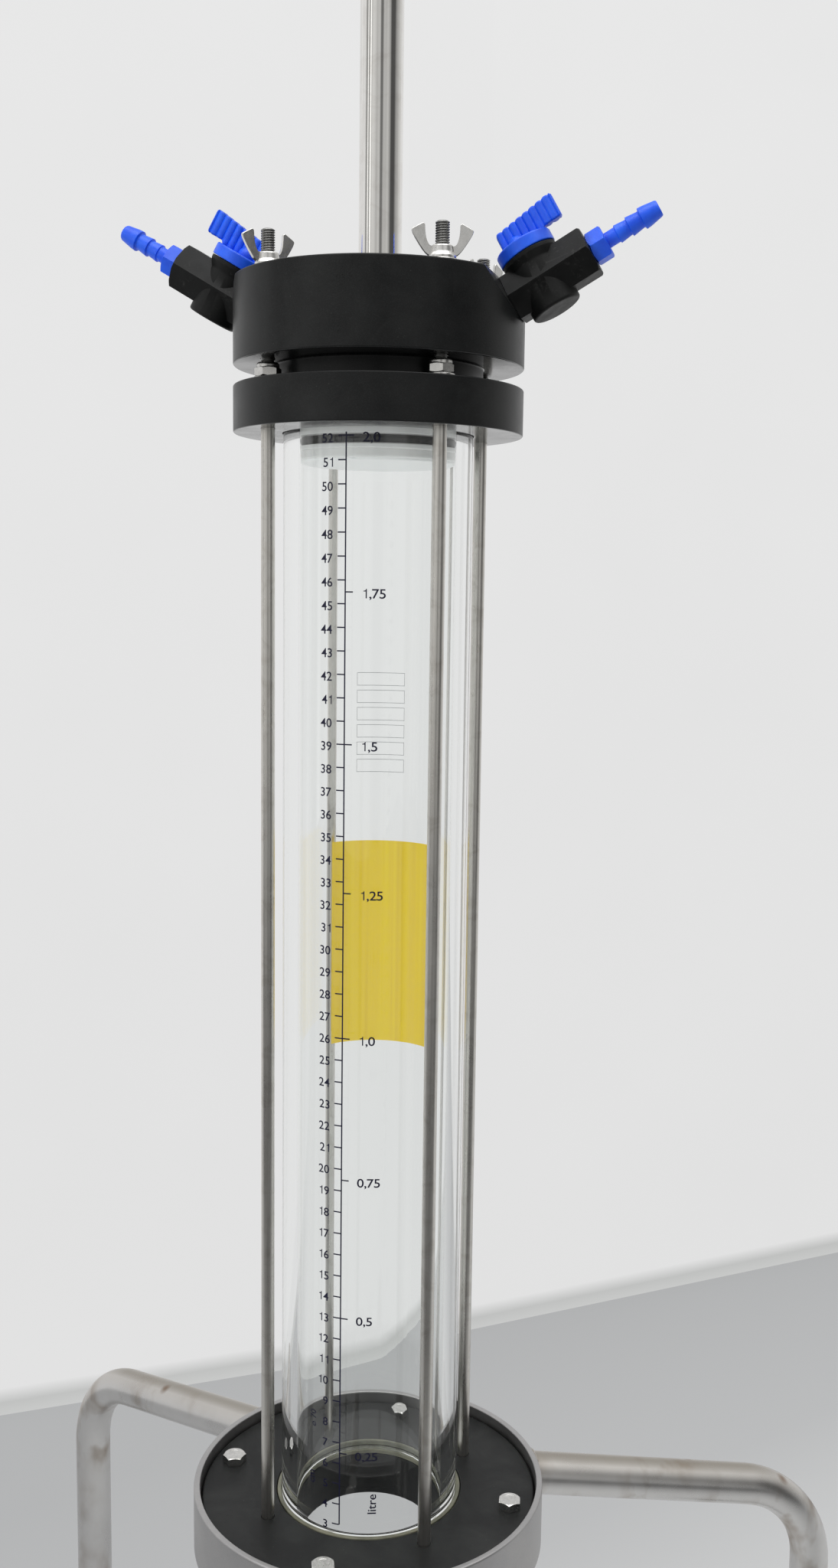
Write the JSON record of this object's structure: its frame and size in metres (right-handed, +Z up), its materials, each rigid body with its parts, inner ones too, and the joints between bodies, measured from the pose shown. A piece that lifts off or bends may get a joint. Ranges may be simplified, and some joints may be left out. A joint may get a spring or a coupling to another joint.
{
  "type": "chromatography column",
  "caption": "Tall glass column held by tie rods between black plastic flanges, with a sliding steel rod and piston, small blue-handled valves on the lid, and a bent-tube stand.",
  "frame": {"origin": "floor level, bottom centre of the bounding box; the column axis stands at X = 0, Y = 0.0605 m because the three-legged stand reaches further to the front than to the rear", "axes": "+Z up along the column; the valves point along +X and -X; the printed scale and the single front leg face -Y"},
  "size_m": [0.4472, 0.391, 1.306],
  "materials": {
    "satin_steel": "satin stainless tube and rolled ring, brownish heat and handling stains",
    "foot_rubber": "matte moulded rubber",
    "black_plastic": "turned black polymer, fine mottled matte surface",
    "bolt_steel": "bright stainless fasteners",
    "rod_steel": "drawn stainless rod, threaded ends",
    "wing_nut_steel": "polished cast stainless",
    "polished_steel": "polished stainless",
    "gasket_elastomer": "yellowish translucent elastomer",
    "tube_glass": "clear borosilicate glass with a dark printed scale",
    "seal_rubber": "smooth black elastomer",
    "valve_black": "injection moulded black polymer",
    "valve_blue": "injection moulded blue polymer",
    "white_plastic": "natural white polymer",
    "net_steel": "fine woven wire net"
  },
  "bodies": {
    "column": {"stand_ring": "satin_steel", "stand_leg_right": "satin_steel", "stand_leg_left": "satin_steel", "stand_leg_front": "satin_steel", "foot_right": "foot_rubber", "foot_left": "foot_rubber", "foot_front": "foot_rubber", "base_flange": "black_plastic", "top_flange": "black_plastic", "lid": "black_plastic", "base_bolt_right": "bolt_steel", "base_bolt_rear": "bolt_steel", "base_bolt_left": "bolt_steel", "base_bolt_front": "bolt_steel", "bottom_gasket": "gasket_elastomer", "top_gasket": "gasket_elastomer", "glass_tube": "tube_glass", "lid_o_ring": "seal_rubber", "rod_o_ring": "seal_rubber", "tie_rod_rear_right": "rod_steel", "flange_washer_rear_right": "bolt_steel", "flange_nut_rear_right": "bolt_steel", "lid_washer_rear_right": "bolt_steel", "tie_rod_rear_left": "rod_steel", "flange_washer_rear_left": "bolt_steel", "flange_nut_rear_left": "bolt_steel", "lid_washer_rear_left": "bolt_steel", "tie_rod_front_left": "rod_steel", "flange_washer_front_left": "bolt_steel", "flange_nut_front_left": "bolt_steel", "lid_washer_front_left": "bolt_steel", "tie_rod_front_right": "rod_steel", "flange_washer_front_right": "bolt_steel", "flange_nut_front_right": "bolt_steel", "lid_washer_front_right": "bolt_steel", "valve_body_right": "valve_black", "hose_barb_right": "valve_blue", "valve_seat_inner_right": "white_plastic", "valve_seat_outer_right": "white_plastic", "valve_body_left": "valve_black", "hose_barb_left": "valve_blue", "valve_seat_inner_left": "white_plastic", "valve_seat_outer_left": "white_plastic"},
    "adaptor": {"adaptor_rod": "polished_steel", "rod_top_fitting": "polished_steel", "piston_body": "white_plastic", "piston_o_ring_lower": "seal_rubber", "piston_o_ring_upper": "seal_rubber", "distributor_plate": "white_plastic", "bed_net": "net_steel"},
    "valve_right": {"valve_handle_right": "valve_blue", "valve_ball_right": "white_plastic"},
    "valve_left": {"valve_handle_left": "valve_blue", "valve_ball_left": "white_plastic"},
    "wing_nut_rear_right": {"wing_nut_rear_right": "wing_nut_steel"},
    "wing_nut_rear_left": {"wing_nut_rear_left": "wing_nut_steel"},
    "wing_nut_front_left": {"wing_nut_front_left": "wing_nut_steel"},
    "wing_nut_front_right": {"wing_nut_front_right": "wing_nut_steel"}
  },
  "joints": [
    {"name": "adaptor_slide", "type": "slide", "parent": "column", "child": "adaptor", "axis": [0, 0, -1], "range_m": [0, 0.46]},
    {"name": "valve_right_turn", "type": "hinge", "parent": "column", "child": "valve_right", "pos_m": [0.07257, 0.0605, 0.7875], "axis": [-0.5, 0, 0.866], "range_deg": [0, 90]},
    {"name": "valve_left_turn", "type": "hinge", "parent": "column", "child": "valve_left", "pos_m": [-0.07257, 0.0605, 0.7875], "axis": [0.5, 0, 0.866], "range_deg": [0, 90]},
    {"name": "wing_nut_rear_right_turn", "type": "hinge", "parent": "column", "child": "wing_nut_rear_right", "pos_m": [0.03783, 0.09833, 0.7905], "axis": [0, 0, 1], "continuous": true},
    {"name": "wing_nut_rear_left_turn", "type": "hinge", "parent": "column", "child": "wing_nut_rear_left", "pos_m": [-0.03783, 0.09833, 0.7905], "axis": [0, 0, 1], "continuous": true},
    {"name": "wing_nut_front_left_turn", "type": "hinge", "parent": "column", "child": "wing_nut_front_left", "pos_m": [-0.03783, 0.02267, 0.7905], "axis": [0, 0, 1], "continuous": true},
    {"name": "wing_nut_front_right_turn", "type": "hinge", "parent": "column", "child": "wing_nut_front_right", "pos_m": [0.03783, 0.02267, 0.7905], "axis": [0, 0, 1], "continuous": true}
  ]
}
